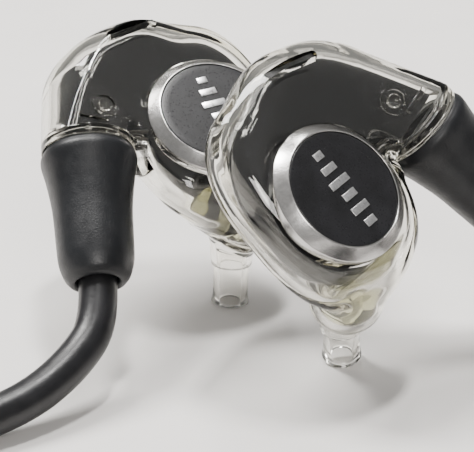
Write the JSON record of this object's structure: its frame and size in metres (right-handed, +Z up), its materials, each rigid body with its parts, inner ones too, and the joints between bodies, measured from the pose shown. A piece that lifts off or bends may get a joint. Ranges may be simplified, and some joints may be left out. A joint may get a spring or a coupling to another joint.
{
  "type": "in-ear monitors",
  "caption": "Pair of in-ear monitors: clear shells with a round metal-ringed face over dark drivers, short nozzles, rubber boots and a fixed cable with splitter, slider and push-pull plug.",
  "frame": {"origin": "on the table under the middle of the two earpieces' box, without the cable", "axes": "+X from the left earpiece's cable arm towards the right earpiece's, along the pair's longest side; +Z up from the table; the faces look towards -Y and up"},
  "size_m": [0.0825, 0.0991, 0.0261],
  "materials": {
    "clear_shell": "polished clear plastic, faintly warm",
    "amber_clear": "clear greenish-yellow plastic",
    "dark_housing": "glossy near-black",
    "silver_ring": "brushed bevel",
    "disc_satin": "satin black",
    "mark_silver": "satin",
    "screen_mesh": "fine dark mesh",
    "stator_gold": "gold plated",
    "spacer_plastic": "matte",
    "film": "metallised film",
    "wire_jacket": "thin enamelled jacket",
    "boot_rubber": "fine matte grain",
    "cable_jacket": "satin black",
    "tie_strap": "woven strap",
    "moulded_black": "fine moulded texture",
    "plug_metal": "satin nickel",
    "insulator": "matte",
    "pin_gold": "gold plated"
  },
  "bodies": {
    "pair": {"outer_shell_left": "clear_shell", "outer_shell_right": "clear_shell", "inner_shell_left": "clear_shell", "inner_shell_right": "clear_shell", "nozzle_left": "clear_shell", "nozzle_right": "clear_shell", "acoustic_chamber_left": "amber_clear", "acoustic_chamber_right": "amber_clear", "housing_front_left": "dark_housing", "housing_front_right": "dark_housing", "housing_back_left": "dark_housing", "housing_back_right": "dark_housing", "arm_core_left": "dark_housing", "arm_core_right": "dark_housing", "face_ring_left": "silver_ring", "face_ring_right": "silver_ring", "face_disc_left": "disc_satin", "face_disc_right": "disc_satin", "face_mark_left": "mark_silver", "face_mark_right": "mark_silver", "button_left": "clear_shell", "button_right": "clear_shell", "vent_screen_left": "screen_mesh", "vent_screen_right": "screen_mesh", "stator_front_left": "stator_gold", "stator_front_right": "stator_gold", "stator_back_left": "stator_gold", "stator_back_right": "stator_gold", "spacer_ring_left": "spacer_plastic", "spacer_ring_right": "spacer_plastic", "diaphragm_left": "film", "diaphragm_right": "film", "driver_retainer_left": "spacer_plastic", "driver_retainer_right": "spacer_plastic", "lead_wires_left": "wire_jacket", "lead_wires_right": "wire_jacket", "neck_ring_left": "clear_shell", "neck_ring_right": "clear_shell", "boot_left": "boot_rubber", "boot_right": "boot_rubber", "left_leg_lead": "cable_jacket", "right_leg_lead": "cable_jacket", "left_leg_tail": "cable_jacket", "right_leg_tail": "cable_jacket", "main_cable_lead": "cable_jacket", "main_cable_tail": "cable_jacket", "legs_coil": "cable_jacket", "main_cable_coil": "cable_jacket", "legs_tie": "tie_strap", "main_cable_tie": "tie_strap", "splitter": "moulded_black", "plug_boot": "boot_rubber", "plug_body": "plug_metal", "plug_insert": "insulator", "plug_pins": "pin_gold"},
    "slider": {"leg_slider": "moulded_black"},
    "sleeve": {"plug_sleeve": "plug_metal"}
  },
  "joints": [
    {"name": "leg_slider_slide", "type": "slide", "parent": "pair", "child": "slider", "axis": [1, 0, 0], "range_m": [-0.0032, 0.0032]},
    {"name": "plug_sleeve_slide", "type": "slide", "parent": "pair", "child": "sleeve", "axis": [0, 1, 0], "range_m": [-0.0015, 0], "stiffness_N_per_m": 150, "springref_m": 0.0005}
  ]
}
